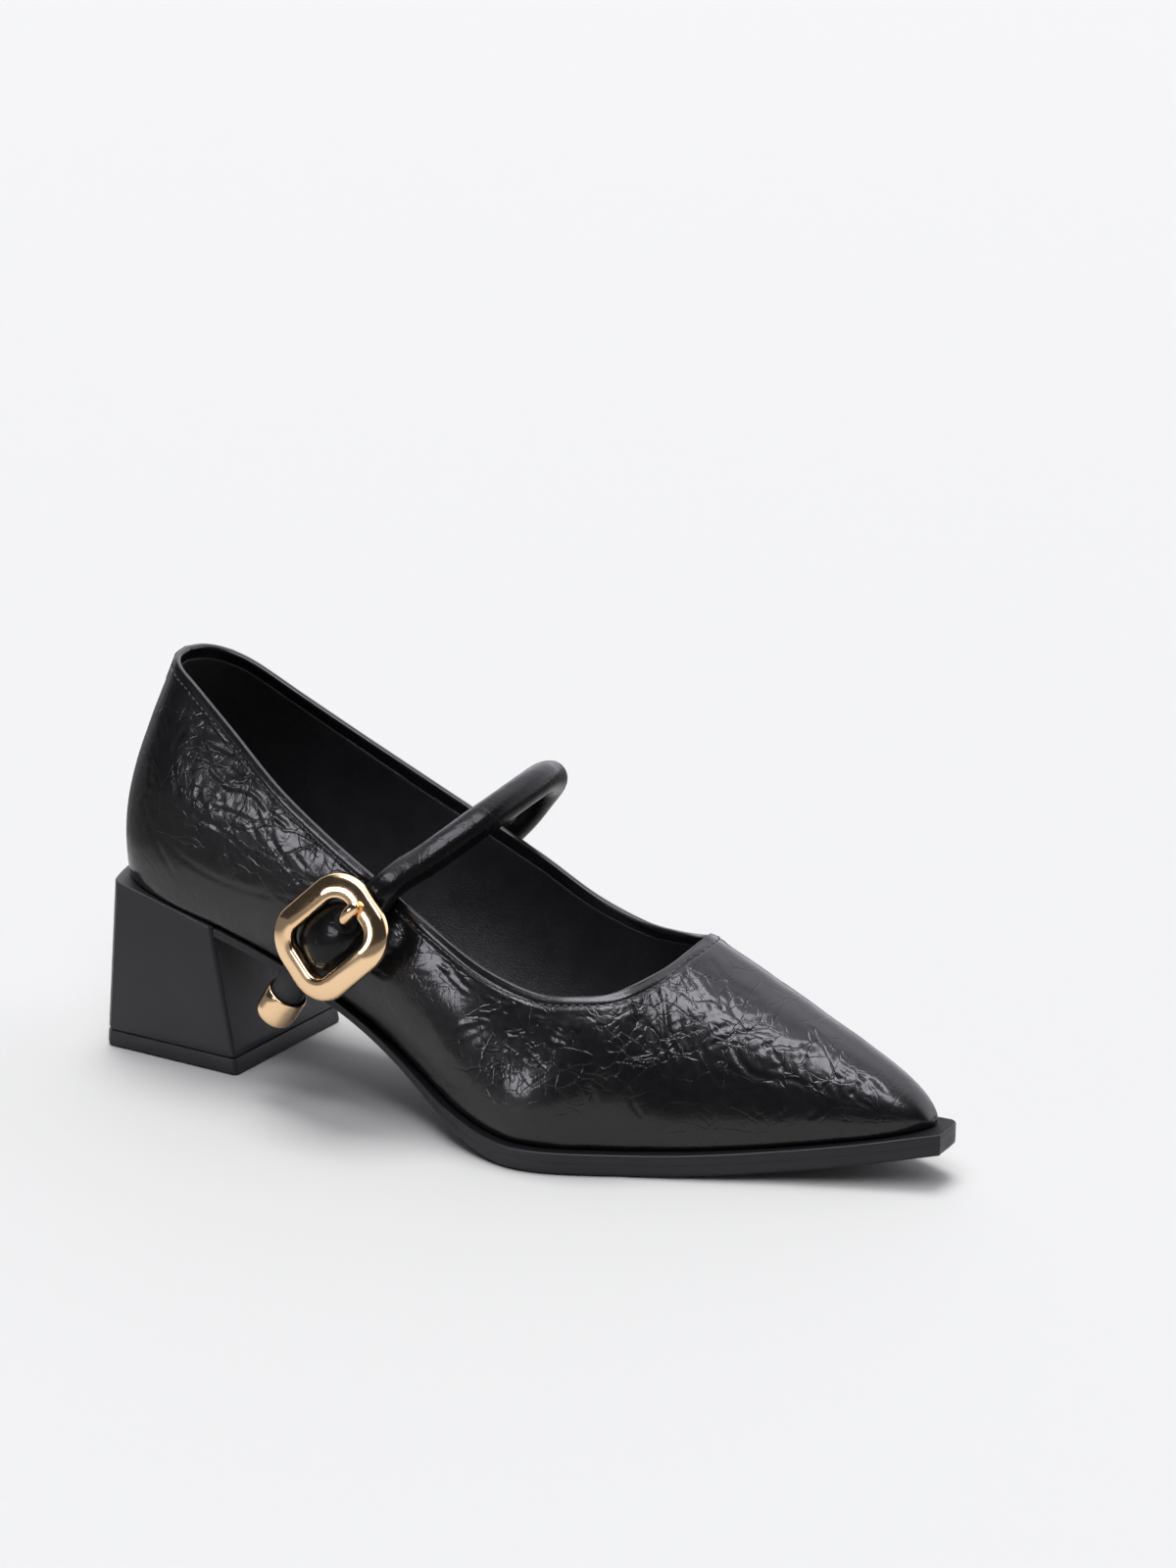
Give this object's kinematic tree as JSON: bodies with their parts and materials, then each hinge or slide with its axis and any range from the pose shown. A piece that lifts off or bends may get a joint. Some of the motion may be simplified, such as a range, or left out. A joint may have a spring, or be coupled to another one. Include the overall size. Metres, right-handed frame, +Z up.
{
  "type": "mary jane pump",
  "caption": "Pointed-toe mary jane pump for the right foot: glossy creased upper, rolled instep strap with rounded metal buckle, snipped sole edge and flared block heel.",
  "frame": {"origin": "centre of the heel tread, on the floor plane the shoe stands on", "axes": "+X from heel to toe, +Y to the medial (inner) side of this right shoe, +Z up"},
  "size_m": [0.2562, 0.0866, 0.1158],
  "materials": {
    "upper_leather": "high gloss with fine random creases",
    "lining": "matt, fine grain",
    "outsole": "satin",
    "heel_cover": "satin",
    "heel_rubber": "matt",
    "gold_metal": "polished, pale rose gold"
  },
  "bodies": {
    "root": {"upper": "upper_leather", "insole": "lining", "outsole": "outsole", "heel_block": "heel_cover", "heel_top_piece": "heel_rubber", "strap": "upper_leather", "strap_ferrule": "gold_metal", "buckle_frame": "gold_metal", "buckle_prong": "gold_metal"}
  },
  "joints": []
}
